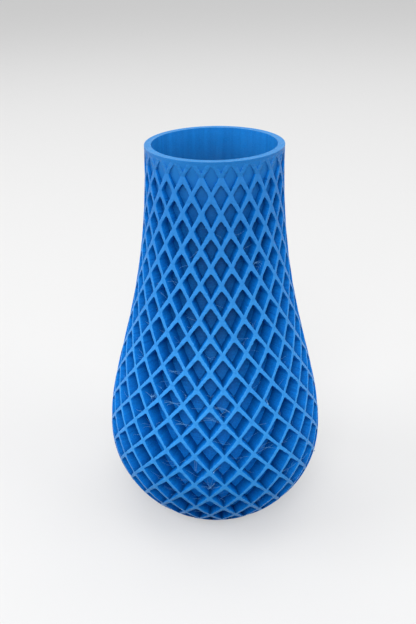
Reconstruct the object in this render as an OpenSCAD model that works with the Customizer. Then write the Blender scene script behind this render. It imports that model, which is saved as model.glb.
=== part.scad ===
// Vase with a diamond lattice of ribs, made in one print
// The vase stands on z = 0 and turns about Z. A rib crossing on the table faces -Y.

/* [Outline] */
// Height from the table to the top of the rim
height = 180; // [150:1:230]
// Radius over the ribs at the table
foot_r = 31.5; // [28:0.5:36]
// Radius over the ribs at the belly
belly_r = 51.8; // [46:0.1:60]
// Height of the widest point
belly_z = 38.5; // [34:0.5:52]
// Radius over the rim
rim_r = 30; // [26:0.5:36]

/* [Vessel] */
// Thickness of the wall behind the ribs, measured level
wall_t = 2; // [1.2:0.1:3]
// Thickness of the floor
floor_t = 3; // [2:0.5:6]
// Thickness of the rim round the mouth
rim_t = 3; // [2:0.25:5]
// Height of the collar round the mouth
collar_h = 6.5; // [5:0.1:12]
// Height of the plain band at the top of the collar
band_h = 1.2; // [0.6:0.1:2.5]

/* [Lattice] */
// Number of ribs that lean each way
ribs = 24; // [16:1:26]
// Number of rows of crossings above the table
rows = 23; // [15:1:24]
// Width of a rib, measured level
rib_w = 1.8; // [1.2:0.1:3]
// How far the roof of a pocket sags below the crossing over it
roof_sag = 0.8; // [0:0.1:1.2]
// Depth of the pockets at the table
foot_depth = 4.5; // [3:0.25:6]
// Depth of the pockets at the belly
belly_depth = 6.5; // [4:0.25:8]
// How fast the pockets deepen below the rim, per unit of height
rim_run_out = 0.18; // [0.1:0.01:0.24]

/* [Fits] */
// Least gap between the lattice and the wall that it stands on
seam = 0.15; // [0.05:0.05:0.3]

/* [Hidden] */
$fn = 96;

vase_colour = [0.12, 0.44, 0.80];
rib_colour = [0.24, 0.55, 0.86];

// Pulls of the outline curve at the foot, at the belly and at the rim
foot_pull = [14.5, 11.6];
belly_pull_down = 13.3;
belly_pull_up = 34;
rim_pull = 75;
// Pull of the wall's curve at the rim
wall_rim_pull = 58;

mouth_r = rim_r - rim_t;
collar_z = height - collar_h;
row_h = collar_z / rows;
// Angle between a crossing and the next one up the same rib, and the turn per unit of height
half_step = 180 / ribs;
turn = half_step * PI / 180 / row_h;
// Longest step of a turned curve, and how far a cutter reaches past what it cuts
curve_step = 4.5;
overcut = 1;
// Halvings in the search for a radius
bisections = 24;

// Control points [radius, height] of the curve over the ribs, below and above the belly
rib_low = [
    [foot_r, 0],
    [foot_r, 0] + foot_pull,
    [belly_r, belly_z - belly_pull_down],
    [belly_r, belly_z]
];
rib_high = [
    [belly_r, belly_z],
    [belly_r, belly_z + belly_pull_up],
    [rim_r, height - rim_pull],
    [rim_r, height]
];
// The same for the wall in the pockets, which comes out to the rim's own radius at the top
wall_low = [
    [foot_r - foot_depth, 0],
    [foot_r - foot_depth, 0] + foot_pull,
    [belly_r - belly_depth, belly_z - belly_pull_down],
    [belly_r - belly_depth, belly_z]
];
wall_high = [
    [belly_r - belly_depth, belly_z],
    [belly_r - belly_depth, belly_z + belly_pull_up],
    [rim_r - rim_run_out * wall_rim_pull, height - wall_rim_pull],
    [rim_r, height]
];

function bezier(p, t) =
    pow(1 - t, 3) * p[0] + 3 * pow(1 - t, 2) * t * p[1]
    + 3 * (1 - t) * pow(t, 2) * p[2] + pow(t, 3) * p[3];

// Radius of a curve at a height, found by halving
function radius_at(p, z, low = 0, high = 1, left = bisections) =
    let (mid = (low + high) / 2, at = bezier(p, mid))
    left == 0 ? at[0]
    : at[1] < z ? radius_at(p, z, mid, high, left - 1)
    : radius_at(p, z, low, mid, left - 1);

function rib_r(z) = z < belly_z ? radius_at(rib_low, z) : radius_at(rib_high, z);
function wall_r(z) = z < belly_z ? radius_at(wall_low, z) : radius_at(wall_high, z);

function wall_curve(from, to, inset = 0) =
    let (steps = ceil((to - from) / curve_step))
    [
        for (i = [0 : steps])
            let (z = from + (to - from) * i / steps)
            [wall_r(z) - inset, z]
    ];
function reversed(list) = [for (i = [len(list) - 1 : -1 : 0]) list[i]];

// Half the room that a rib crossing takes up: the angle each way, and the height each way
function crossing_angle(z) = rib_w / 2 / rib_r(z) * 180 / PI;
function crossing_rise(z) = rib_w / 2 / rib_r(z) / turn;

// A straight rib cuts inside the round wall between two crossings: how far it does up the wall
function chord_dip(z) =
    let (low = max(0, min(z, collar_z - row_h)))
    max(0, wall_r(low + row_h / 2) - (wall_r(low) + wall_r(low + row_h)) / 2);
function seat_r(z) =
    (wall_r(z) + max(chord_dip(z), chord_dip(z - row_h)) + seam) / cos(half_step / 2);

function around(r, angle, z) = [r * sin(angle), -r * cos(angle), z];

// Each crossing has four corners, east, north, west and south, outside and again on its seat
east = 0;
north = 1;
west = 2;
south = 3;
corners = 4;

function row_z(k) = k * row_h;
function crossing_angle_of(i, k) = (2 * i + k % 2) * half_step;
function crossing_points(i, k) =
    let (
        z = row_z(k),
        a = crossing_angle_of(i, k),
        da = crossing_angle(z),
        up = k == rows ? 0 : crossing_rise(z),
        down = k == 0 ? 0 : crossing_rise(z) + roof_sag,
        spots = [[a + da, z], [a, z + up], [a - da, z], [a, z - down]]
    )
    [
        for (s = spots) around(rib_r(s[1]), s[0], s[1]),
        for (s = spots) around(seat_r(s[1]), s[0], s[1])
    ];

// Index of a corner, and of the crossings up to the right and up to the left of one
function corner(i, k, c, inner = 0) =
    ((k * ribs + (i + ribs) % ribs) * 2 + inner) * corners + c;
function right_of(i, k) = i + k % 2;
function left_of(i, k) = i - 1 + k % 2;

function two_triangles(q) = [[q[0], q[1], q[2]], [q[0], q[2], q[3]]];
function face_pair(q) = concat(
    two_triangles(reversed(q)),
    two_triangles([for (p = q) p + corners])
);
// The side below the outer edge from a to b
function side(a, b) = two_triangles(reversed([b, a, a + corners, b + corners]));

function crossing_faces(i, k) =
    let (
        e = corner(i, k, east),
        n = corner(i, k, north),
        w = corner(i, k, west),
        s = corner(i, k, south)
    )
    concat(
        face_pair([e, n, w, s]),
        k == 0 ? concat(side(w, s), side(s, e)) : [],
        k == rows ? concat(side(e, n), side(n, w)) : []
    );

function right_rib_faces(i, k) =
    let (
        e = corner(i, k, east),
        n = corner(i, k, north),
        far_s = corner(right_of(i, k), k + 1, south),
        far_w = corner(right_of(i, k), k + 1, west)
    )
    concat(face_pair([e, far_s, far_w, n]), side(e, far_s), side(far_w, n));

function left_rib_faces(i, k) =
    let (
        n = corner(i, k, north),
        w = corner(i, k, west),
        far_e = corner(left_of(i, k), k + 1, east),
        far_s = corner(left_of(i, k), k + 1, south)
    )
    concat(face_pair([n, far_e, far_s, w]), side(n, far_e), side(far_s, w));

module floor() {
    color(vase_colour)
        rotate_extrude()
            polygon(concat([[0, 0]], wall_curve(0, floor_t), [[0, floor_t]]));
}

module wall() {
    color(vase_colour)
        rotate_extrude()
            polygon(concat(
                wall_curve(floor_t, collar_z),
                reversed(wall_curve(floor_t, collar_z, wall_t))
            ));
}

module lattice() {
    points = [
        for (k = [0 : rows], i = [0 : ribs - 1]) each crossing_points(i, k)
    ];
    faces = [
        for (k = [0 : rows], i = [0 : ribs - 1]) each crossing_faces(i, k),
        for (k = [0 : rows - 1], i = [0 : ribs - 1]) each right_rib_faces(i, k),
        for (k = [0 : rows - 1], i = [0 : ribs - 1]) each left_rib_faces(i, k)
    ];
    color(rib_colour)
        polyhedron(points, faces);
}

// A block that stands out from the axis through the collar, with its outline in the collar's front
module through_collar() {
    translate([0, -mouth_r, collar_z])
        rotate([90, 0, 0])
            linear_extrude(rim_r - mouth_r + overcut)
                children();
}

// The upper half of a pocket whose middle is at the foot of the collar
module pocket_top() {
    half_w = rib_r(collar_z) * sin(half_step - crossing_angle(collar_z));
    rise = row_h - crossing_rise(height) - roof_sag;
    polygon([
        [-half_w, -overcut],
        [half_w, -overcut],
        [half_w, 0],
        [0, rise],
        [-half_w, 0]
    ]);
}

// The lower half of a pocket of the next row, which runs out below the band
module pocket_bottom() {
    low = crossing_rise(collar_z);
    high = collar_h - band_h / 2;
    half_w = (high - low) * rim_r * turn;
    polygon([[0, low], [half_w, high], [-half_w, high]]);
}

module rim() {
    run_out = (rim_r - wall_r(collar_z)) / (collar_h - band_h);
    color(vase_colour)
        difference() {
            rotate_extrude()
                polygon([
                    [mouth_r, collar_z],
                    [rib_r(collar_z), collar_z],
                    [rim_r, height],
                    [mouth_r, height]
                ]);
            difference() {
                for (i = [0 : ribs - 1]) {
                    rotate([0, 0, crossing_angle_of(i, rows + 1)])
                        through_collar() pocket_top();
                    rotate([0, 0, crossing_angle_of(i, rows)])
                        through_collar() pocket_bottom();
                }
                rotate_extrude()
                    polygon([
                        [0, collar_z - 2 * overcut],
                        [wall_r(collar_z), collar_z - 2 * overcut],
                        [wall_r(collar_z), collar_z],
                        [rim_r + run_out * band_h, height],
                        [0, height]
                    ]);
            }
        }
}

floor();
wall();
lattice();
rim();
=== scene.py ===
import math

import bmesh
import bpy
import numpy as np
from mathutils import Matrix, Vector


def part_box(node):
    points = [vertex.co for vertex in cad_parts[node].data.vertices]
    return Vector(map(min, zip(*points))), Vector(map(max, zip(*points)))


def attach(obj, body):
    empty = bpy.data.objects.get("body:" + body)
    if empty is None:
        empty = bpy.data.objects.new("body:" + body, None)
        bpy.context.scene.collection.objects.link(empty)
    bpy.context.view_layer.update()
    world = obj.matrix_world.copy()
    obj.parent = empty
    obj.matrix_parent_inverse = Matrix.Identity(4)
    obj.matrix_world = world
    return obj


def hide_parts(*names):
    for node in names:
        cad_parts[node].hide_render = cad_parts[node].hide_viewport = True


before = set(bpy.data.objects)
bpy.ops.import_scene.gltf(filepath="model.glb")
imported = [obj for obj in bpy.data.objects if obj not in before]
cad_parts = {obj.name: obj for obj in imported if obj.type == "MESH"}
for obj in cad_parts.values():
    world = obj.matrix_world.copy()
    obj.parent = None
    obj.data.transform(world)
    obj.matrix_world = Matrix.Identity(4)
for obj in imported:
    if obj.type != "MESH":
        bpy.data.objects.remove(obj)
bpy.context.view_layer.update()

# Sizes in metres. Those that the frame holds are read from it, the rest repeat the CAD's own
MM = 0.001
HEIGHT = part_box("rim")[1].z
RIM_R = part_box("rim")[1].x
COLLAR_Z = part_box("rim")[0].z
FLOOR_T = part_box("floor")[1].z
BELLY_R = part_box("lattice")[1].x
BELLY_Z = 38.5 * MM
FOOT_R = 31.5 * MM
WALL_T = 2 * MM
RIM_T = 3 * MM
BAND_H = 1.2 * MM
MOUTH_R = RIM_R - RIM_T
RUN_OUT_Z = HEIGHT - BAND_H

# Pulls of the outline curve at the foot, the belly and the rim, and of the wall's curve at the rim
FOOT_PULL = (14.5 * MM, 11.6 * MM)
BELLY_PULL_DOWN = 13.3 * MM
BELLY_PULL_UP = 34 * MM
RIM_PULL = 75 * MM
WALL_RIM_PULL = 58 * MM

# The lattice: ribs each way, rows of crossings up to the collar, a rib's level width, the depth of
# the pockets at the foot and the belly, and how fast they deepen below the rim
RIBS = 24
ROWS = 23
RIB_W = 1.8 * MM
FOOT_DEPTH = 4.5 * MM
BELLY_DEPTH = 6.5 * MM
RIM_RUN_OUT = 0.18

# A post is one of the places round the vase where pockets stand above each other, half a step apart.
# TURN is how far a rib turns about the axis as it rises
ROW_H = COLLAR_Z / ROWS
HALF_STEP = math.pi / RIBS
TURN = HALF_STEP / ROW_H
POSTS = 2 * RIBS

# How the print came out: the sag of pocket roofs up the vase, the rounding of rib edges, pocket corners
# and roofs, the share of a row over which a roof's arch comes in, and the waver of the pockets' sides,
# which fades out where a pocket is narrow
ROOF_SAG_Z = (40 * MM, 80 * MM, 120 * MM, 174 * MM)
ROOF_SAG = (0.7 * MM, 0.45 * MM, 0.4 * MM, 1.2 * MM)
RIB_EDGE = 0.13 * MM
CORNER_ROUND = 0.3 * MM
ROOF_ROUND = 0.9 * MM
ROOF_RISE = 0.4
SIDE_WAVER = 0.09 * MM
WAVER_FADE = 1.2 * MM
WAVER_SEED = 7
LAYER_H = 0.2 * MM

# Meshing: points of a curve, segments of a turned shape, steps of a rounded corner, the least angle of
# a crease, the gap that is welded, and how far the ribs reach into the wall
CURVE_POINTS = 1500
TURN_SEGMENTS = 288
CORNER_STEPS = 5
CREASE = math.radians(50)
WELD = 0.001 * MM
SINK = 0.3 * MM

# Material slots of the lattice, and of the wall and the rim
FACE, SIDE = 0, 1
OUTSIDE, INSIDE, RUN_OUT, TOP = 0, 1, 2, 3


# Curves

def bezier(points):
    t = np.linspace(0, 1, CURVE_POINTS)[:, None]
    a, b, c, d = (np.array(p) for p in points)
    return (1 - t) ** 3 * a + 3 * (1 - t) ** 2 * t * b + 3 * (1 - t) * t ** 2 * c + t ** 3 * d


def outline(foot_r, belly_r, rim_pull, rim_lean):
    """Points (radius, height) of a curve from the table over the belly to the top of the rim."""
    low = [
        (foot_r, 0),
        (foot_r + FOOT_PULL[0], FOOT_PULL[1]),
        (belly_r, BELLY_Z - BELLY_PULL_DOWN),
        (belly_r, BELLY_Z),
    ]
    high = [
        (belly_r, BELLY_Z),
        (belly_r, BELLY_Z + BELLY_PULL_UP),
        (RIM_R - rim_lean * rim_pull, HEIGHT - rim_pull),
        (RIM_R, HEIGHT),
    ]
    return np.concatenate([bezier(low), bezier(high)[1:]])


RIB_CURVE = outline(FOOT_R, BELLY_R, RIM_PULL, 0)
WALL_CURVE = outline(FOOT_R - FOOT_DEPTH, BELLY_R - BELLY_DEPTH, WALL_RIM_PULL, RIM_RUN_OUT)


def rib_r(z):
    """Radius over the ribs."""
    return np.interp(z, RIB_CURVE[:, 1], RIB_CURVE[:, 0])


def wall_r(z):
    """Radius in the pockets: the turned wall, and above it the cone in which they run out."""
    low = np.interp(z, WALL_CURVE[:, 1], WALL_CURVE[:, 0])
    foot = np.interp(COLLAR_Z, WALL_CURVE[:, 1], WALL_CURVE[:, 0])
    share = np.clip((z - COLLAR_Z) / (RUN_OUT_Z - COLLAR_Z), 0, 1)
    return np.where(z > COLLAR_Z, foot + share * (RIM_R - foot), low)


def roof_sag(z):
    """How far the roof of a pocket hangs below the straight ribs: most below the rim."""
    return np.interp(z, ROOF_SAG_Z, ROOF_SAG)


# Mesh helpers

# Name of the attribute that darkens the pocket walls as painted shade, most at the seats and the tips
PAINTED_SHADE_ATTRIBUTE = "pocket_painted_shade"


def mesh_object(name, verts, faces, kinds=None, weld=0.0, shade_depths=None):
    """A smooth mesh with sharp creases; kinds gives each face's material slot, and depths how deep
    each vert counts in a pocket for the painted shade of its walls, from 0 at the ribs' faces to 1 at
    their seats."""
    mesh = bpy.data.meshes.new(name)
    mesh.from_pydata([tuple(v) for v in verts], [], [tuple(f) for f in faces])
    if kinds is not None:
        mesh.polygons.foreach_set("material_index", np.array(kinds, dtype=np.int32))
    if shade_depths is not None:
        layer = mesh.attributes.new(PAINTED_SHADE_ATTRIBUTE, "FLOAT", "POINT")
        layer.data.foreach_set("value", np.array(shade_depths, dtype=np.float32))
    if weld:
        bm = bmesh.new()
        bm.from_mesh(mesh)
        bmesh.ops.remove_doubles(bm, verts=bm.verts, dist=weld)
        loose = [v for v in bm.verts if not v.link_faces]
        bmesh.ops.delete(bm, geom=loose, context="VERTS")
        bm.to_mesh(mesh)
        bm.free()
    mesh.validate()
    mesh.shade_smooth()
    mesh.set_sharp_from_angle(angle=CREASE)
    obj = bpy.data.objects.new(name, mesh)
    bpy.context.scene.collection.objects.link(obj)
    return obj


def turned(profile):
    """Verts and faces of a closed profile of (radius, height) turned about Z."""
    angles = np.arange(TURN_SEGMENTS) * 2 * math.pi / TURN_SEGMENTS
    count = len(profile)
    verts = [
        (r * math.sin(a), -r * math.cos(a), z)
        for a in angles
        for r, z in np.array(profile)
    ]
    faces = []
    for s in range(TURN_SEGMENTS):
        here = s * count
        there = (s + 1) % TURN_SEGMENTS * count
        for i in range(count):
            j = (i + 1) % count
            faces.append((here + i, there + i, there + j, here + j))
    return verts, faces


def rounded_corner(corner, start, end, radius):
    """Points of a corner from the side of start to the side of end, rounded off."""
    corner, start, end = (np.array(p, float) for p in (corner, start, end))
    u = (start - corner) / np.linalg.norm(start - corner)
    v = (end - corner) / np.linalg.norm(end - corner)
    points = []
    for i in range(CORNER_STEPS + 1):
        t = i / CORNER_STEPS
        points.append(corner + u * radius * (1 - t) ** 2 + v * radius * t ** 2)
    return points


# The ribs. A pocket has a left and a right side, and each side has three points at every level:
# on the rib's face, over its edge, and on its seat at the wall

LEFT, RIGHT = 0, 1
ON_FACE, ON_EDGE, ON_SEAT = 0, 1, 2
SIDE_POINTS = 3

# Levels at which the ribs are cut: around the lower point and the roof of each pocket, and evenly over
# the sides between, which start and end clear of the two. No cut but the last is near the top, and
# ROOF_TRIES is how often the search for the height of a roof is repeated
POINT_CUTS = np.array([-0.2, 0, 0.35]) * MM
ROOF_CUTS = np.array([-0.75, -0.4, -0.18, -0.06, 0, 0.2]) * MM
SIDE_CUTS = 5
POINT_CLEAR = 0.9 * MM
ROOF_CLEAR = 1.2 * MM
TOP_CLEAR = 0.1 * MM
ROOF_TRIES = 4

# Painted shade at the tips of a pocket: they count as deep all the way up their sides, from this half
# width down and at most this deep, and are darkened as such
TIP_W = 1.6 * MM
TIP_SHADE_DEPTH = 0.9


def pocket_half_width(z, odd):
    """Half the level width of the pocket at height z on a post, negative where ribs cross."""
    centre = (2 * np.round((z / ROW_H - 1 + odd) / 2) + 1 - odd) * ROW_H
    up = z - centre
    off = np.sqrt(up ** 2 + CORNER_ROUND ** 2)
    radius = rib_r(z)
    plain = radius * TURN * (ROW_H - off) - RIB_W / 2
    sagged = plain - radius * TURN * roof_sag(z) * np.clip(up / ROW_H, 0, 1)
    bare = sagged - ROOF_ROUND / 2
    arched = np.where(bare > 0, np.sqrt(np.abs(bare) * (np.abs(bare) + ROOF_ROUND)), bare)
    blend = np.clip(up / (ROOF_RISE * ROW_H), 0, 1)
    return plain + (arched - plain) * blend


def rib_levels():
    """Heights at which the ribs are cut, closer together at the points of the pockets."""
    levels = []
    for k in range(ROWS + 1):
        low = k * ROW_H
        high = low + ROW_H
        point = low + RIB_W / 2 / (rib_r(low) * TURN)
        roof = high
        for _ in range(ROOF_TRIES):
            straight = (RIB_W + ROOF_ROUND) / 2 / (rib_r(roof) * TURN)
            roof = high - (straight + roof_sag(roof)) / (1 + roof_sag(roof) / ROW_H)
        levels += [low]
        levels += list(point + POINT_CUTS)
        levels += list(np.linspace(point + POINT_CLEAR, roof - ROOF_CLEAR, SIDE_CUTS))
        levels += list(roof + ROOF_CUTS)
        levels += [(roof + high) / 2]
    return np.array([z for z in sorted(levels) if z < RUN_OUT_Z - TOP_CLEAR] + [RUN_OUT_Z])


def rib_sides(levels):
    """At each level, post and side: half the pocket's width, and the rib's edge, which runs out where
    ribs cross."""
    half = np.zeros((len(levels), POSTS, 2))
    for post in range(POSTS):
        half[:, post, :] = pocket_half_width(levels, post % 2)[:, None]
    waver = np.random.default_rng(WAVER_SEED).standard_normal(half.shape) * SIDE_WAVER
    half = half + waver * np.clip(half / WAVER_FADE, 0, 1)
    edge = RIB_EDGE * np.clip(1 + half / RIB_EDGE, 0, 1)
    return half, edge


def rib_points(levels, half, edge):
    """The three points of each side."""
    radius = rib_r(levels)[:, None, None]
    seat = wall_r(levels)[:, None, None] - SINK
    open_half = np.maximum(half, 0)
    side = np.array([-1.0, 1.0])[None, None, :]
    middle = (np.arange(POSTS) * HALF_STEP)[None, :, None]
    across = (open_half + edge, open_half, open_half)
    depth = (radius, radius - edge, np.broadcast_to(seat, half.shape))
    points = np.zeros((*half.shape, SIDE_POINTS, 3))
    for d in range(SIDE_POINTS):
        angle = middle + side * across[d] / radius
        points[..., d, 0] = depth[d] * np.sin(angle)
        points[..., d, 1] = -depth[d] * np.cos(angle)
        points[..., d, 2] = levels[:, None, None]
    return points.reshape(-1, 3)


def rib_index(level, post, side, spot):
    return ((level * POSTS + post % POSTS) * 2 + side) * SIDE_POINTS + spot


def rib_faces(half, edge):
    """Faces and their slots: the ribs' faces and seats from post to post, their edges and sides in the
    pockets, and at last their feet on the table."""
    faces, kinds = [], []
    for j in range(len(half) - 1):
        for post in range(POSTS):
            nxt = post + 1
            faces.append((
                rib_index(j, post, RIGHT, ON_FACE), rib_index(j, nxt, LEFT, ON_FACE),
                rib_index(j + 1, nxt, LEFT, ON_FACE), rib_index(j + 1, post, RIGHT, ON_FACE),
            ))
            faces.append((
                rib_index(j, nxt, LEFT, ON_SEAT), rib_index(j, post, RIGHT, ON_SEAT),
                rib_index(j + 1, post, RIGHT, ON_SEAT), rib_index(j + 1, nxt, LEFT, ON_SEAT),
            ))
            kinds += [FACE, SIDE]
            for s in (LEFT, RIGHT):
                if max(edge[j, post, s], edge[j + 1, post, s]) <= 0:
                    continue
                has_side = max(half[j, post, s], half[j + 1, post, s]) > 0
                for d in (ON_FACE, ON_EDGE) if has_side else (ON_FACE,):
                    quad = (
                        rib_index(j, post, s, d), rib_index(j + 1, post, s, d),
                        rib_index(j + 1, post, s, d + 1), rib_index(j, post, s, d + 1),
                    )
                    faces.append(quad if s == RIGHT else quad[::-1])
                    kinds.append(SIDE)
    for post in range(1, POSTS, 2):
        right = [rib_index(0, post, RIGHT, d) for d in (ON_SEAT, ON_EDGE, ON_FACE)]
        crossing = [rib_index(0, post + 1, LEFT, ON_FACE)]
        left = [rib_index(0, post + 2, LEFT, d) for d in (ON_FACE, ON_EDGE, ON_SEAT)]
        faces.append(tuple(right + crossing + left)[::-1])
        kinds.append(SIDE)
    return faces, kinds


def rib_shade_depths(half):
    """How deep each point counts in its pocket for the painted shade of the pocket walls."""
    shade_depths = np.zeros((*half.shape, SIDE_POINTS))
    shade_depths[..., ON_EDGE] = TIP_SHADE_DEPTH * np.clip(1 - half / TIP_W, 0, 1)
    shade_depths[..., ON_SEAT] = 1
    return shade_depths.ravel()


cut_levels = rib_levels()
half_widths, rib_edges = rib_sides(cut_levels)
rib_verts = rib_points(cut_levels, half_widths, rib_edges)
all_faces, all_kinds = rib_faces(half_widths, rib_edges)
in_collar = [sum(rib_verts[i][2] for i in f) / len(f) > COLLAR_Z for f in all_faces]
lattice_faces = [f for f, above in zip(all_faces, in_collar) if not above]
lattice_kinds = [k for k, above in zip(all_kinds, in_collar) if not above]
collar_faces = [f for f, above in zip(all_faces, in_collar) if above]
rib_lattice = mesh_object(
    "rib_lattice", rib_verts, lattice_faces, lattice_kinds, WELD, rib_shade_depths(half_widths),
)

# The vessel behind the ribs: where its inside starts to ease into the mouth, the levels of its wall and
# its foot, the foot's rings as shares of its radius, and how near the inside a face counts as inside

INNER_BLEND_Z = 150 * MM
WALL_LEVELS = 120
FLOOR_LEVELS = 5
FLOOR_RINGS = np.linspace(0.02, 0.98, 12)
INSIDE_MARGIN = WALL_T / 4


def inner_r(z):
    """Inside radius: even with the wall, and easing into the straight mouth at the top."""
    plain = wall_r(np.minimum(z, COLLAR_Z)) - WALL_T
    share = np.clip((z - INNER_BLEND_Z) / (COLLAR_Z - INNER_BLEND_Z), 0, 1)
    start = wall_r(INNER_BLEND_Z) - WALL_T
    eased = start + (MOUTH_R - start) * share ** 2 * (3 - 2 * share)
    return np.where(z > INNER_BLEND_Z, eased, plain)


def inside_kinds(verts, faces, limit_r):
    """Slot of each face: inside where its middle is nearer the axis than limit_r at its height."""
    kinds = []
    for f in faces:
        x, y, z = np.mean([verts[i] for i in f], axis=0)
        kinds.append(INSIDE if math.hypot(x, y) < limit_r(z) else OUTSIDE)
    return kinds


def build_wall():
    z = np.linspace(FLOOR_T, COLLAR_Z, WALL_LEVELS)
    profile = list(zip(wall_r(z), z)) + list(zip(inner_r(z)[::-1], z[::-1]))
    verts, faces = turned(profile)
    kinds = inside_kinds(verts, faces, lambda height: inner_r(height) + INSIDE_MARGIN)
    return mesh_object("vessel_wall", verts, faces, kinds)


def build_foot():
    """The disc on the table: turned in rings, with one face in the middle of its foot and its top."""
    z = np.linspace(0, FLOOR_T, FLOOR_LEVELS)
    profile = (
        [(share * wall_r(0.0), 0) for share in FLOOR_RINGS]
        + list(zip(wall_r(z), z))
        + [(share * wall_r(FLOOR_T), FLOOR_T) for share in FLOOR_RINGS[::-1]]
    )
    count = len(profile)
    verts, faces = turned(profile)
    faces = [f for n, f in enumerate(faces) if n % count != count - 1]
    faces.append(tuple(s * count for s in range(TURN_SEGMENTS))[::-1])
    faces.append(tuple((s + 1) * count - 1 for s in range(TURN_SEGMENTS)))
    return mesh_object("foot_disc", verts, faces)


vessel_wall = build_wall()
foot_disc = build_foot()

# The rim. Its top shows the printed rings: one along each edge, and lower ones between. EDGE_RING is a
# share of the top's width, MIDDLE_RINGS is how many would fill that width, and their swell is a share
# of the groove's depth

RIM_EDGE = 0.09 * MM
RIM_GROOVE = 0.14 * MM
RIM_TOP_STEPS = 24
EDGE_RING = 0.3
EDGE_RING_POWER = 4
MIDDLE_RINGS = 2.5
MIDDLE_RING_SWELL = 0.4
RUN_OUT_LEVELS = 12
MOUTH_LEVELS = 8
MOUTH_MARGIN = 0.01 * MM


def rim_top():
    """Points of the rim's top from the outside in."""
    span = RIM_T - 2 * RIM_EDGE
    points = []
    for share in np.linspace(0, 1, RIM_TOP_STEPS + 1)[1:-1]:
        nearest_edge = min(share, 1 - share)
        if nearest_edge < EDGE_RING:
            drop = (nearest_edge / EDGE_RING) ** EDGE_RING_POWER
        else:
            wave = abs(math.cos(MIDDLE_RINGS * math.pi * (share - 0.5)))
            drop = 1 - MIDDLE_RING_SWELL * (1 - wave)
        points.append((RIM_R - RIM_EDGE - share * span, HEIGHT - RIM_GROOVE * drop))
    return points


def build_rim():
    """The turned collar, and on it the upper ends of the ribs."""
    run_out_z = np.linspace(COLLAR_Z, RUN_OUT_Z, RUN_OUT_LEVELS)
    top_outer = (RIM_R, HEIGHT)
    top_inner = (MOUTH_R, HEIGHT)
    below_edge_z = HEIGHT - 2 * RIM_EDGE
    profile = (
        list(zip(wall_r(run_out_z), run_out_z))
        + rounded_corner(top_outer, (RIM_R, RUN_OUT_Z), top_inner, RIM_EDGE)
        + rim_top()
        + rounded_corner(top_inner, top_outer, (MOUTH_R, COLLAR_Z), RIM_EDGE)
        + [(MOUTH_R, z) for z in np.linspace(below_edge_z, COLLAR_Z, MOUTH_LEVELS)]
    )
    verts, faces = turned(profile)
    kinds = inside_kinds(verts, faces, lambda height: MOUTH_R + MOUTH_MARGIN)
    for n in range(len(faces)):
        step = n % len(profile)
        r, z = profile[step]
        if step < RUN_OUT_LEVELS - 1:
            kinds[n] = RUN_OUT
        elif z > below_edge_z and r > MOUTH_R:
            kinds[n] = TOP
    offset = len(verts)
    verts = verts + [tuple(v) for v in rib_verts]
    faces = faces + [tuple(i + offset for i in f) for f in collar_faces]
    kinds = kinds + [OUTSIDE] * len(collar_faces)
    return mesh_object("rim_collar", verts, faces, kinds, WELD)


rim_collar = build_rim()

# Print strings: fine hairs of plastic that the nozzle drew across the pockets. A place in a pocket is
# across from -1 to 1 between its sides, rise from -1 to 1 between the crossings below and above it, and
# depth from 0 at the rib's face to 1 on the wall. A hair ends just inside what holds it. A name that
# ends in _SPAN has the limits of a random draw, and one that ends in _HAIR has a radius and a bow

IN_SIDE = 1.03
IN_WALL = 1.02
HAIR_SIDES = 5
ACROSS_POINTS = 9
BETWEEN_POINTS = 8
HAIR_TILT_SPAN = (-0.2, 0.2)
HAIR_LEAN_SPAN = (-0.15, 0.15)
STRING_SEED = 21

# The radius at the ends of a hair's taper as a share of its middle's, and the part left off each end
HAIR_END_R = 0.55
HAIR_LEFT_OFF = 0.15

# Uneven lumps: their mesh, and the stretch of the whole and of each point
BLOB_RINGS = 5
BLOB_SEGMENTS = 8
BLOB_STRETCH_SPAN = (0.7, 1.3)
BLOB_BUMP_SPAN = (0.9, 1.1)

# Scattered hairs: the share of pockets that have them, the rows left free at each end, the most hairs
# in a pocket, and their places and sizes
STRUNG_SHARE = 0.45
FREE_ROWS = 2
MOST_HAIRS = 3
SCATTER_RISE_SPAN = (-0.72, -0.15)
SCATTER_DEPTH_SPAN = (0.2, 0.85)
SCATTER_MM_SPAN = (0.02, 0.038)
SCATTER_BOW_SPAN = (-0.15, 0.1)

# A web: the knot's place across, depth and radius, the places across, rises and depths that hold it,
# and its loose ends
KNOT_ACROSS = 0.05
KNOT_DEPTH = 0.35
KNOT_R = 0.28 * MM
WEB_HOLDS = (
    (-IN_SIDE, 0.12, 0.3), (IN_SIDE, 0.3, 0.2),
    (0.3, 0.35, IN_WALL), (-0.3, 0.25, IN_WALL), (0.1, -0.2, IN_WALL),
)
HELD_HAIR = (0.05 * MM, 0.5 * MM)
LOOSE_ENDS = 7
LOOSE_ACROSS_SPAN = (-0.5, 0.6)
LOOSE_RISE_SPAN = (-0.18, 0.3)
LOOSE_DEPTH_SPAN = (0.1, 0.6)
LOOSE_HAIR = (0.06 * MM, 0.3 * MM)

# A lump at a side of a pocket, and where its hairs end: at these rises, and nearer the middle
LUMP_ACROSS = 0.97
LUMP_DEPTH = 0.12
LUMP_R = 0.42 * MM
LUMP_HAIR_RISES = (-0.2, -0.05, 0.1)
LUMP_HAIR_ACROSS = 0.4
LUMP_HAIR = (0.08 * MM, 0.4 * MM)

# Hairs that stand side by side: their steps across, how far the steps close up at the bend and the foot,
# and the rises of the top, the bend and the foot
STANDING_STEPS = (-0.14, 0.0, 0.12)
BEND_CLOSES_TO = 0.6
FOOT_CLOSES_TO = 0.5
TOP_RISE = 0.3
BEND_RISE = -0.3
FOOT_RISE = -0.45
BEND_DEPTH = 0.75
UPPER_HAIR = (0.07 * MM, 0.3 * MM)
LOWER_HAIR = (0.06 * MM, 0.1 * MM)

# A sheaf of long hairs, each one step deeper than the last
SHEAF_HAIRS = 3
SHEAF_DEPTH_STEP = 0.1
SHEAF_RISE_SPAN = (0, 0.3)
SHEAF_MM_SPAN = (0.03, 0.055)
SHEAF_BOW_SPAN = (0.02, 0.2)

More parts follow.
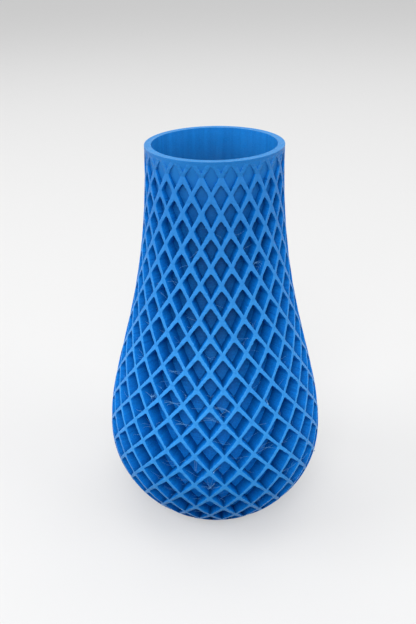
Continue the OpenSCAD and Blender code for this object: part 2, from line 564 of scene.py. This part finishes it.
# Fuzz on a crossing: its places in rows and half steps, how deep its roots are, its longest reach, the
# share of that reach which it stands out, and how far its tips rise
FUZZ_HAIRS = 5
FUZZ_ROW_SPAN = (-0.3, 0.3)
FUZZ_POST_SPAN = (-0.15, 0.15)
FUZZ_ROOT_DEPTH = 0.1 * MM
FUZZ_REACH_MM_SPAN = (0.8, 2.2)
FUZZ_OUT_SHARE = 0.7
FUZZ_TIP_MM_SPAN = (-1.2, 1.0)
FUZZ_HAIR = (0.06 * MM, 0.3 * MM)

# Where each kind shows: post and row, then the place across and the rise where the kind has them
WEBS = ((0, 5, -0.4), (-5, 10, -0.3))
LUMPS = ((1, 6, -0.5, -0.1), (5, 10, -0.1, -0.3), (8, 5, -0.8, 0.1))
STANDING_HAIRS = ((-1, 6, -0.2, -0.2), (6, 9, 0.2, -0.4))
LONG_HAIRS = (
    (1, 10, -0.5), (-2, 9, -0.5), (-3, 10, -0.45), (-3, 12, -0.4),
    (0, 9, -0.1), (4, 7, -0.1), (5, 18, -0.4),
)
FUZZY_CROSSINGS = ((10, 4), (11, 3), (12, 4), (-5, 1), (-4, 2), (-12, 4), (20, 3), (28, 4))

string_verts, string_faces = [], []


def pocket_point(post, row, across, rise, depth):
    z = (row + rise) * ROW_H
    face = float(rib_r(z))
    half = max(float(pocket_half_width(z, post % 2)), 0.0)
    radius = face - depth * (face - float(wall_r(z)))
    angle = post * HALF_STEP + across * half / face
    return Vector((radius * math.sin(angle), -radius * math.cos(angle), z))


def add_hair(path, radius):
    """A closed thin tube along a path that tapers a little to its ends."""
    start = len(string_verts)
    last = len(path) - 1
    for i, point in enumerate(path):
        along = (path[min(i + 1, last)] - path[max(i - 1, 0)]).normalized()
        side_a = along.orthogonal().normalized()
        side_b = along.cross(side_a)
        share = HAIR_LEFT_OFF + (1 - 2 * HAIR_LEFT_OFF) * i / last
        taper = radius * (HAIR_END_R + (1 - HAIR_END_R) * math.sin(math.pi * share))
        for s in range(HAIR_SIDES):
            a = 2 * math.pi * s / HAIR_SIDES
            string_verts.append(point + (side_a * math.cos(a) + side_b * math.sin(a)) * taper)
    for i in range(last):
        for s in range(HAIR_SIDES):
            t = (s + 1) % HAIR_SIDES
            low = start + i * HAIR_SIDES
            string_faces.append((low + s, low + t, low + HAIR_SIDES + t, low + HAIR_SIDES + s))
    end = start + last * HAIR_SIDES
    string_faces.append(tuple(start + s for s in range(HAIR_SIDES))[::-1])
    string_faces.append(tuple(end + s for s in range(HAIR_SIDES)))


def hair_across(rng, post, row, rise, depth, radius, bow):
    """A hair from one side of a pocket to the other, with a slight bow and a change of depth."""
    tilt = rng.uniform(*HAIR_TILT_SPAN)
    lean = rng.uniform(*HAIR_LEAN_SPAN)
    path = []
    for t in np.linspace(-1, 1, ACROSS_POINTS):
        arch = bow * (1 - t * t)
        path.append(pocket_point(post, row, IN_SIDE * t, rise + tilt * t + arch, depth + lean * t))
    add_hair(path, radius)


def hair_between(rng, a, b, radius, bow):
    """A hair between two places, bowed a little to one side."""
    way = (b - a).orthogonal().normalized()
    way.rotate(Matrix.Rotation(rng.uniform(0, 2 * math.pi), 3, (b - a).normalized()))
    shares = np.linspace(0, 1, BETWEEN_POINTS)
    path = [a.lerp(b, t) + way * bow * math.sin(math.pi * t) for t in shares]
    add_hair(path, radius)


def add_blob(rng, centre, radius):
    """A small uneven lump."""
    start = len(string_verts)
    stretch = Vector(rng.uniform(*BLOB_STRETCH_SPAN, 3))
    for i in range(BLOB_RINGS + 1):
        polar = math.pi * i / BLOB_RINGS
        ring_r = math.sin(polar)
        for s in range(BLOB_SEGMENTS):
            a = 2 * math.pi * s / BLOB_SEGMENTS
            spot = Vector((ring_r * math.cos(a), ring_r * math.sin(a), math.cos(polar)))
            string_verts.append(centre + spot * stretch * radius * rng.uniform(*BLOB_BUMP_SPAN))
    for i in range(BLOB_RINGS):
        for s in range(BLOB_SEGMENTS):
            t = (s + 1) % BLOB_SEGMENTS
            low = start + i * BLOB_SEGMENTS
            string_faces.append((low + t, low + s, low + BLOB_SEGMENTS + s, low + BLOB_SEGMENTS + t))
    end = start + BLOB_RINGS * BLOB_SEGMENTS
    string_faces.append(tuple(start + s for s in range(BLOB_SEGMENTS)))
    string_faces.append(tuple(end + s for s in range(BLOB_SEGMENTS))[::-1])


def scatter_strings(rng):
    """A few faint hairs low in nearly half of the pockets."""
    for row in range(FREE_ROWS, ROWS - FREE_ROWS):
        for post in range(POSTS):
            if (post + row) % 2 == 0 or rng.random() > STRUNG_SHARE:
                continue
            for _ in range(rng.integers(1, MOST_HAIRS + 1)):
                hair_across(
                    rng, post, row, rng.uniform(*SCATTER_RISE_SPAN), rng.uniform(*SCATTER_DEPTH_SPAN),
                    rng.uniform(*SCATTER_MM_SPAN) * MM, rng.uniform(*SCATTER_BOW_SPAN),
                )


def web(rng, post, row, rise):
    """A tangle: hairs that meet at a lump, some held by the sides and the wall and some loose."""
    knot = pocket_point(post, row, KNOT_ACROSS, rise, KNOT_DEPTH)
    for across, up, depth in WEB_HOLDS:
        end = pocket_point(post, row, across, rise + up, depth)
        hair_between(rng, knot, end, *HELD_HAIR)
    for _ in range(LOOSE_ENDS):
        tip = pocket_point(
            post, row, rng.uniform(*LOOSE_ACROSS_SPAN), rise + rng.uniform(*LOOSE_RISE_SPAN),
            rng.uniform(*LOOSE_DEPTH_SPAN),
        )
        hair_between(rng, knot, tip, *LOOSE_HAIR)
    add_blob(rng, knot, KNOT_R)


def lump(rng, post, row, across, rise):
    """A lump on the side of a pocket with a few short hairs to the wall."""
    spot = pocket_point(post, row, math.copysign(LUMP_ACROSS, across), rise, LUMP_DEPTH)
    add_blob(rng, spot, LUMP_R)
    for up in LUMP_HAIR_RISES:
        foot = pocket_point(post, row, across * LUMP_HAIR_ACROSS, rise + up, IN_WALL)
        hair_between(rng, spot, foot, *LUMP_HAIR)


def standing_hairs(rng, post, row, across, rise):
    """Hairs that stand on the wall one beside the other, each bent near its foot."""
    for step in STANDING_STEPS:
        bend_across = across + step * BEND_CLOSES_TO
        foot_across = across + step * FOOT_CLOSES_TO
        top = pocket_point(post, row, across + step, rise + TOP_RISE, IN_WALL)
        bend = pocket_point(post, row, bend_across, rise + BEND_RISE, BEND_DEPTH)
        foot = pocket_point(post, row, foot_across, rise + FOOT_RISE, IN_WALL)
        hair_between(rng, top, bend, *UPPER_HAIR)
        hair_between(rng, bend, foot, *LOWER_HAIR)


def long_hairs(rng, post, row, rise):
    """A sheaf of hairs right across a pocket."""
    for step in range(SHEAF_HAIRS):
        hair_across(
            rng, post, row, rise + rng.uniform(*SHEAF_RISE_SPAN), SHEAF_DEPTH_STEP * (1 + step),
            rng.uniform(*SHEAF_MM_SPAN) * MM, rng.uniform(*SHEAF_BOW_SPAN),
        )


def fuzz(rng, post, row):
    """Short hairs that stand out from a crossing of two ribs, inside the belly's radius."""
    for _ in range(FUZZ_HAIRS):
        root_z = (row + rng.uniform(*FUZZ_ROW_SPAN)) * ROW_H
        angle = (post + rng.uniform(*FUZZ_POST_SPAN)) * HALF_STEP
        radius = float(rib_r(root_z)) - FUZZ_ROOT_DEPTH
        out = Vector((math.sin(angle), -math.cos(angle), 0))
        root = out * radius + Vector((0, 0, root_z))
        reach = min(rng.uniform(*FUZZ_REACH_MM_SPAN) * MM, BELLY_R - radius)
        tip_rise = Vector((0, 0, rng.uniform(*FUZZ_TIP_MM_SPAN) * MM))
        tip = root + out * reach * FUZZ_OUT_SHARE + tip_rise
        hair_between(rng, root, tip, *FUZZ_HAIR)


string_rng = np.random.default_rng(STRING_SEED)
scatter_strings(string_rng)
for place in WEBS:
    web(string_rng, *place)
for place in LUMPS:
    lump(string_rng, *place)
for place in STANDING_HAIRS:
    standing_hairs(string_rng, *place)
for place in LONG_HAIRS:
    long_hairs(string_rng, *place)
for place in FUZZY_CROSSINGS:
    fuzz(string_rng, *place)
print_strings = mesh_object("print_strings", string_verts, string_faces)

# Materials. A noise is its scale, its stretch along x, y and z, and its detail, and NOISE_RANGE is the
# part of its range that is used. The shares say how far each noise moves the colour from deep to pale,
# where the speckle goes by its grain to both sides of its share

DRIFT_NOISE = (45, (1, 1, 1), 3)
LEVEL_STREAKS = (60, (0.6, 0.6, 18), 2)
UPRIGHT_STREAKS = (500, (1, 1, 0.03), 2)
SPECKLE_NOISE = (1300, (1, 1, 1.6), 2)
ROUGHNESS_NOISE = (350, (1, 1, 3), 2)
BUMP_NOISE = (700, (1, 1, 2.2), 3)
NOISE_RANGE = (0.3, 0.7)
DRIFT_SHARE = 0.3
STREAK_SHARE = 0.4
SPECKLE_SHARE = 0.2
SPECKLE_GRAIN = 0.4
SMOOTHER = 0.08
ROUGHER = 0.1

# Strength and height of a bump, and the layer lines: a wave texture has WAVE_BANDS bands in a metre at a
# scale of 1
LAYER_BUMP = (0.3, 0.03 * MM)
UNEVEN_BUMP = (0.35, 0.06 * MM)
WAVE_BANDS = 20 / (2 * math.pi)
WAVE_WARP = 1.2
WAVE_DETAIL = 1.0

# Spans of height along which a colour changes, among them the painted shade of the pocket floors up the
# neck and the painted shade down inside the mouth, and the colours of the rim and of the ribs below it
NECK_PAINTED_SHADE_Z = (60 * MM, 110 * MM)
TINT_Z = (90 * MM, 174 * MM)
RUN_OUT_TINT_Z = (150 * MM, 177 * MM)
MOUTH_PAINTED_SHADE_Z = (180 * MM, 162 * MM)
RIM_BLUE = (0.016, 0.226, 0.68)
RIB_TOP_BLUE = (0.030, 0.241, 0.70)


def socket_value(node, name, value):
    node.inputs[name].default_value = value


def print_material(
    name, pale, deep, roughness, specular, streaks=LEVEL_STREAKS, grain=SPECKLE_GRAIN,
    shade=1.0, painted_shade_z=NECK_PAINTED_SHADE_Z, top_tint=None, tint_z=TINT_Z, painted_depth_shade=1.0,
):
    """Satin print plastic: bumps for its layers, and streaks, speckle and a slow drift in its colour. It
    can go over to a painted shade along one span of height, to a top tint along another, and to a
    painted shade in the depth of the pockets."""
    mat = bpy.data.materials.new(name)
    mat.use_nodes = True
    nodes = mat.node_tree.nodes
    links = mat.node_tree.links
    nodes.clear()
    out = nodes.new("ShaderNodeOutputMaterial")
    bsdf = nodes.new("ShaderNodeBsdfPrincipled")
    links.new(bsdf.outputs["BSDF"], out.inputs["Surface"])
    coords = nodes.new("ShaderNodeTexCoord")
    split = nodes.new("ShaderNodeSeparateXYZ")
    links.new(coords.outputs["Object"], split.inputs["Vector"])

    def noise(scale, stretch, detail):
        place = nodes.new("ShaderNodeMapping")
        socket_value(place, "Scale", stretch)
        links.new(coords.outputs["Object"], place.inputs["Vector"])
        tex = nodes.new("ShaderNodeTexNoise")
        socket_value(tex, "Scale", scale)
        socket_value(tex, "Detail", detail)
        links.new(place.outputs["Vector"], tex.inputs["Vector"])
        return tex.outputs["Fac"]

    def ramp(source, span, low, high):
        """Goes from low to high as the source goes along a span."""
        node = nodes.new("ShaderNodeMapRange")
        socket_value(node, "From Min", span[0])
        socket_value(node, "From Max", span[1])
        socket_value(node, "To Min", low)
        socket_value(node, "To Max", high)
        links.new(source, node.inputs["Value"])
        return node.outputs["Result"]

    def add(a, b):
        node = nodes.new("ShaderNodeMath")
        node.operation = "ADD"
        links.new(a, node.inputs[0])
        links.new(b, node.inputs[1])
        return node.outputs["Value"]

    def blend(base, colour, share, way):
        node = nodes.new("ShaderNodeMix")
        node.data_type = "RGBA"
        node.blend_type = way
        links.new(share, node.inputs["Factor"])
        links.new(base, node.inputs["A"])
        node.inputs["B"].default_value = (*colour, 1)
        return node.outputs["Result"]

    def bump(height, strength, distance):
        node = nodes.new("ShaderNodeBump")
        socket_value(node, "Strength", strength)
        socket_value(node, "Distance", distance)
        links.new(height, node.inputs["Height"])
        return node

    drift = ramp(noise(*DRIFT_NOISE), NOISE_RANGE, 0.0, DRIFT_SHARE)
    bands = ramp(noise(*streaks), NOISE_RANGE, 0.0, STREAK_SHARE)
    speckle = ramp(noise(*SPECKLE_NOISE), NOISE_RANGE, SPECKLE_SHARE - grain, SPECKLE_SHARE + grain)
    mix = nodes.new("ShaderNodeMix")
    mix.data_type = "RGBA"
    links.new(add(add(drift, bands), speckle), mix.inputs["Factor"])
    mix.inputs["A"].default_value = (*deep, 1)
    mix.inputs["B"].default_value = (*pale, 1)
    tint = mix.outputs["Result"]
    # Painted shade: the colour darkens along a span of height, in the pocket floors up the neck and down
    # inside the mouth
    if shade < 1:
        tint = blend(tint, [shade] * 3, ramp(split.outputs["Z"], painted_shade_z, 0, 1), "MULTIPLY")
    if top_tint:
        tint = blend(tint, top_tint, ramp(split.outputs["Z"], tint_z, 0, 1), "MIX")
    # Painted shade: the colour darkens towards the seats and the tips of the pockets, by the attribute on
    # the mesh
    if painted_depth_shade < 1:
        depth = nodes.new("ShaderNodeAttribute")
        depth.attribute_name = PAINTED_SHADE_ATTRIBUTE
        tint = blend(tint, [painted_depth_shade] * 3, depth.outputs["Fac"], "MULTIPLY")
    links.new(tint, bsdf.inputs["Base Color"])
    uneven = ramp(noise(*ROUGHNESS_NOISE), NOISE_RANGE, roughness - SMOOTHER, roughness + ROUGHER)
    links.new(uneven, bsdf.inputs["Roughness"])

    layers = nodes.new("ShaderNodeTexWave")
    layers.wave_type = "BANDS"
    layers.bands_direction = "Z"
    socket_value(layers, "Scale", 1 / (WAVE_BANDS * LAYER_H))
    socket_value(layers, "Distortion", WAVE_WARP)
    socket_value(layers, "Detail", WAVE_DETAIL)
    links.new(coords.outputs["Object"], layers.inputs["Vector"])
    fine = bump(layers.outputs["Fac"], *LAYER_BUMP)
    rough = bump(noise(*BUMP_NOISE), *UNEVEN_BUMP)
    links.new(fine.outputs["Normal"], rough.inputs["Normal"])
    links.new(rough.outputs["Normal"], bsdf.inputs["Normal"])
    socket_value(bsdf, "Specular IOR Level", specular)
    return mat


face_plastic = print_material(
    "rib_face_plastic", pale=(0.046, 0.355, 0.88), deep=(0.029, 0.260, 0.76),
    roughness=0.42, specular=0.12, top_tint=RIB_TOP_BLUE,
)
# The rib sides: the same plastic as the faces, painted darker and deeper blue as shade, and darker still
# deep in the pockets
side_plastic_painted_shade = print_material(
    "rib_side_plastic_painted_shade", pale=(0.003, 0.222, 0.75), deep=(0.002, 0.147, 0.57),
    roughness=0.6, specular=0.05, painted_depth_shade=0.48,
)
# The pocket floors: the same plastic as the faces, painted darker as shade, darker still up the neck, and
# going over to the rim's colour near the top, where the pockets run out and the painted shade ends
vessel_plastic_painted_shade = print_material(
    "vessel_plastic_painted_shade", pale=(0.006, 0.30, 0.87), deep=(0.003, 0.17, 0.62),
    roughness=0.5, specular=0.2, shade=0.53, top_tint=RIM_BLUE, tint_z=RUN_OUT_TINT_Z,
)
# The rim's band: the same plastic as the ribs' faces, painted darker as shade
rim_plastic_painted_shade = print_material(
    "rim_plastic_painted_shade", pale=(0.014, 0.22, 0.65), deep=(0.008, 0.17, 0.54),
    roughness=0.42, specular=0.27,
)
# The inside of the vessel: painted shade darkens it from the top of the mouth downwards
inner_plastic_painted_shade = print_material(
    "vessel_inner_plastic_painted_shade", pale=(0.013, 0.295, 0.85), deep=(0.003, 0.170, 0.56),
    roughness=0.42, specular=0.33, streaks=UPRIGHT_STREAKS, grain=0.15,
    shade=0.52, painted_shade_z=MOUTH_PAINTED_SHADE_Z,
)
# The rim's top: the same plastic, painted darker as shade where the light from above falls on it
rim_top_plastic_painted_shade = print_material(
    "rim_top_plastic_painted_shade", pale=(0.018, 0.23, 0.59), deep=(0.010, 0.18, 0.49),
    roughness=0.42, specular=0.33,
)
string_plastic = print_material(
    "string_plastic", pale=(0.25, 0.56, 0.90), deep=(0.12, 0.44, 0.86),
    roughness=0.5, specular=0.1,
)

for piece, mats, slot in (
    (rib_lattice, (face_plastic, side_plastic_painted_shade), "ribs"),
    (rim_collar, (rim_plastic_painted_shade, inner_plastic_painted_shade, vessel_plastic_painted_shade, rim_top_plastic_painted_shade), "vessel"),
    (vessel_wall, (vessel_plastic_painted_shade, inner_plastic_painted_shade), "vessel"),
    (foot_disc, (vessel_plastic_painted_shade,), "vessel"),
    (print_strings, (string_plastic,), "ribs"),
):
    for mat in mats:
        piece.data.materials.append(mat)
    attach(piece, "root")

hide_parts("lattice")
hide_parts("wall")
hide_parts("rim")
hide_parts("floor")

# Stage and light: the stage's half size, its grey and faint mottle, its roughness, the grey that throws
# light back, the share of it that shows at an even level, and that level. The sky lights at one level and
# shows at another

STAGE_HALF = 6.0
STAGE_GREY = 0.78
STAGE_MOTTLE = 0.985
MOTTLE_SCALE = 25
MOTTLE_DETAIL = 4
STAGE_ROUGHNESS = 0.8
BOUNCE_GREY = 0.2
EVEN_SHARE = 0.5
EVEN_GREY = 0.82
SKY_LIGHT = 0.38
SKY_SEEN = 0.72

# Soft boxes, all as far from the middle of the vase: name, turn to the right of the front and rise above
# level in degrees, size in metres and power in watts
LIGHT_DISTANCE = 1.6
SOFT_BOXES = (
    ("overhead", 0, 88, 1.4, 8),
    ("front", -4, 42, 0.9, 12.3),
    ("left", -80, 30, 1.0, 11),
    ("right", 78, 30, 1.0, 7),
    ("back_left", -145, 50, 1.0, 3),
    ("back_right", 145, 50, 1.0, 3),
)


def eye_ray(tree):
    """One for rays that the eye sees, direct or through a gloss or glass, and nought for other rays."""
    path = tree.nodes.new("ShaderNodeLightPath")
    seen = path.outputs["Is Camera Ray"]
    for ray in ("Is Glossy Ray", "Is Transmission Ray"):
        either = tree.nodes.new("ShaderNodeMath")
        either.operation = "MAXIMUM"
        tree.links.new(seen, either.inputs[0])
        tree.links.new(path.outputs[ray], either.inputs[1])
        seen = either.outputs["Value"]
    return seen


def grey(level):
    return (level, level, level, 1)


def stage_material(name):
    """Pale to the eye, in part at an even level so that it stays pale far away. It throws back less
    light onto the object than its grey would."""
    mat = bpy.data.materials.new(name)
    mat.use_nodes = True
    nodes = mat.node_tree.nodes
    links = mat.node_tree.links
    bsdf = nodes["Principled BSDF"]
    out = nodes["Material Output"]
    tex = nodes.new("ShaderNodeTexNoise")
    socket_value(tex, "Scale", MOTTLE_SCALE)
    socket_value(tex, "Detail", MOTTLE_DETAIL)
    mottled = nodes.new("ShaderNodeMix")
    mottled.data_type = "RGBA"
    mottled.inputs["A"].default_value = grey(STAGE_GREY * STAGE_MOTTLE)
    mottled.inputs["B"].default_value = grey(STAGE_GREY)
    links.new(tex.outputs["Fac"], mottled.inputs["Factor"])
    seen = eye_ray(mat.node_tree)
    lit = nodes.new("ShaderNodeMix")
    lit.data_type = "RGBA"
    links.new(seen, lit.inputs["Factor"])
    lit.inputs["A"].default_value = grey(BOUNCE_GREY)
    links.new(mottled.outputs["Result"], lit.inputs["B"])
    links.new(lit.outputs["Result"], bsdf.inputs["Base Color"])
    socket_value(bsdf, "Roughness", STAGE_ROUGHNESS)
    even_part = nodes.new("ShaderNodeMath")
    even_part.operation = "MULTIPLY"
    links.new(seen, even_part.inputs[0])
    even_part.inputs[1].default_value = EVEN_SHARE
    even = nodes.new("ShaderNodeEmission")
    socket_value(even, "Color", grey(EVEN_GREY))
    blend = nodes.new("ShaderNodeMixShader")
    links.new(even_part.outputs["Value"], blend.inputs["Fac"])
    links.new(bsdf.outputs["BSDF"], blend.inputs[1])
    links.new(even.outputs["Emission"], blend.inputs[2])
    links.new(blend.outputs["Shader"], out.inputs["Surface"])
    return mat


def soft_box(name, turn, rise, size, power):
    """A square soft light that faces the middle of the vase."""
    data = bpy.data.lights.new(name, "AREA")
    data.shape = "SQUARE"
    data.size = size
    data.energy = power
    lamp = bpy.data.objects.new(name, data)
    bpy.context.scene.collection.objects.link(lamp)
    turn = math.radians(turn)
    rise = math.radians(rise)
    way = Vector((
        math.sin(turn) * math.cos(rise), -math.cos(turn) * math.cos(rise), math.sin(rise),
    ))
    lamp.location = Vector((0, 0, HEIGHT / 2)) + way * LIGHT_DISTANCE
    lamp.rotation_euler = (-way).to_track_quat("-Z", "Y").to_euler()


floor_mesh = bpy.data.meshes.new("stage_floor")
floor_mesh.from_pydata(
    [(x * STAGE_HALF, y * STAGE_HALF, 0) for x, y in ((-1, -1), (1, -1), (1, 1), (-1, 1))],
    [],
    [(0, 1, 2, 3)],
)
stage_floor = bpy.data.objects.new("stage_floor", floor_mesh)
bpy.context.scene.collection.objects.link(stage_floor)
stage_floor.data.materials.append(stage_material("stage_grey"))

world = bpy.data.worlds.new("studio")
bpy.context.scene.world = world
world.use_nodes = True
sky = world.node_tree.nodes["Background"]
socket_value(sky, "Color", grey(1.0))
sky_level = world.node_tree.nodes.new("ShaderNodeMapRange")
socket_value(sky_level, "To Min", SKY_LIGHT)
socket_value(sky_level, "To Max", SKY_SEEN)
world.node_tree.links.new(eye_ray(world.node_tree), sky_level.inputs["Value"])
world.node_tree.links.new(sky_level.outputs["Result"], sky.inputs["Strength"])

for box in SOFT_BOXES:
    soft_box(*box)

# Camera in the fitted place: distance from the axis and height, then turn about the vase, tilt, swing and
# roll in radians. The photo is a crop, so the lens is shifted off the middle of the frame
CAMERA_DISTANCE = 318.3 * MM
CAMERA_HEIGHT = 263.2 * MM
CAMERA_TURN = 0.0383
CAMERA_TILT = 0.4410
CAMERA_SWING = -0.0832
CAMERA_ROLL = -0.0351
FOCAL_PIXELS = 754.5
CENTRE_SHIFT_PIXELS = (50.9, -26.6)
FRAME_LONG_SIDE = 624
SENSOR_MM = 36
NEAREST_SEEN = 10 * MM

camera_data = bpy.data.cameras.new("camera")
camera_data.sensor_width = SENSOR_MM
camera_data.lens = FOCAL_PIXELS / FRAME_LONG_SIDE * SENSOR_MM
camera_data.shift_x = CENTRE_SHIFT_PIXELS[0] / FRAME_LONG_SIDE
camera_data.shift_y = CENTRE_SHIFT_PIXELS[1] / FRAME_LONG_SIDE
camera_data.clip_start = NEAREST_SEEN
camera = bpy.data.objects.new("camera", camera_data)
bpy.context.scene.collection.objects.link(camera)
forward = Vector((
    math.sin(CAMERA_SWING) * math.cos(CAMERA_TILT),
    math.cos(CAMERA_SWING) * math.cos(CAMERA_TILT),
    -math.sin(CAMERA_TILT),
))
level_right = Vector((math.cos(CAMERA_SWING), -math.sin(CAMERA_SWING), 0))
level_up = level_right.cross(forward)
right = level_right * math.cos(CAMERA_ROLL) + level_up * math.sin(CAMERA_ROLL)
up = right.cross(forward)
turn_about_vase = Matrix.Rotation(CAMERA_TURN, 4, "Z")
camera.matrix_world = turn_about_vase @ Matrix((
    (right.x, up.x, -forward.x, 0),
    (right.y, up.y, -forward.y, -CAMERA_DISTANCE),
    (right.z, up.z, -forward.z, CAMERA_HEIGHT),
    (0, 0, 0, 1),
))
bpy.context.scene.camera = camera
bpy.context.scene.view_settings.view_transform = "Standard"
